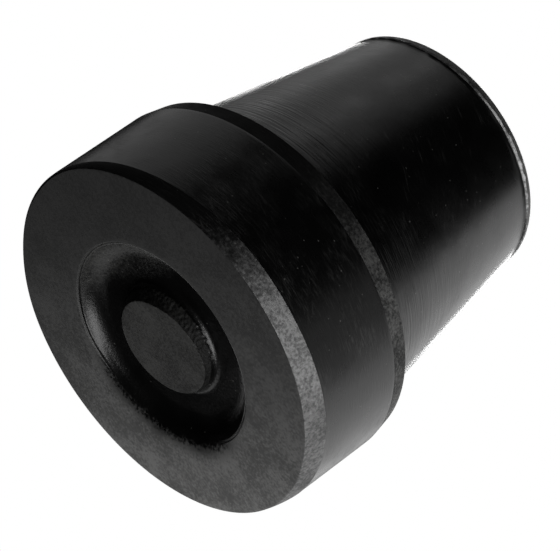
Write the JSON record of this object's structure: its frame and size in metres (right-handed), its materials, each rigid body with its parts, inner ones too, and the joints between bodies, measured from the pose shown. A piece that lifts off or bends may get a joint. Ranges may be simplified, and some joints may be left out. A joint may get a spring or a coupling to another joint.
{
  "type": "rubber cane tip",
  "caption": "Moulded rubber foot that presses onto the end of a walking stick, with a wide flanged tread and a recessed centre stud.",
  "frame": {"origin": "centre of the mouth rim, which the tip stands on", "axes": "+Z along the axis from the mouth to the tread; +X towards the high side of the stud's cut face; -Y is the side that the picture shows"},
  "size_m": [0.036, 0.036, 0.037],
  "materials": {
    "rubber": "satin moulded black rubber, rough where it was ground"
  },
  "bodies": {
    "root": {"cane_tip": "rubber"}
  },
  "joints": []
}
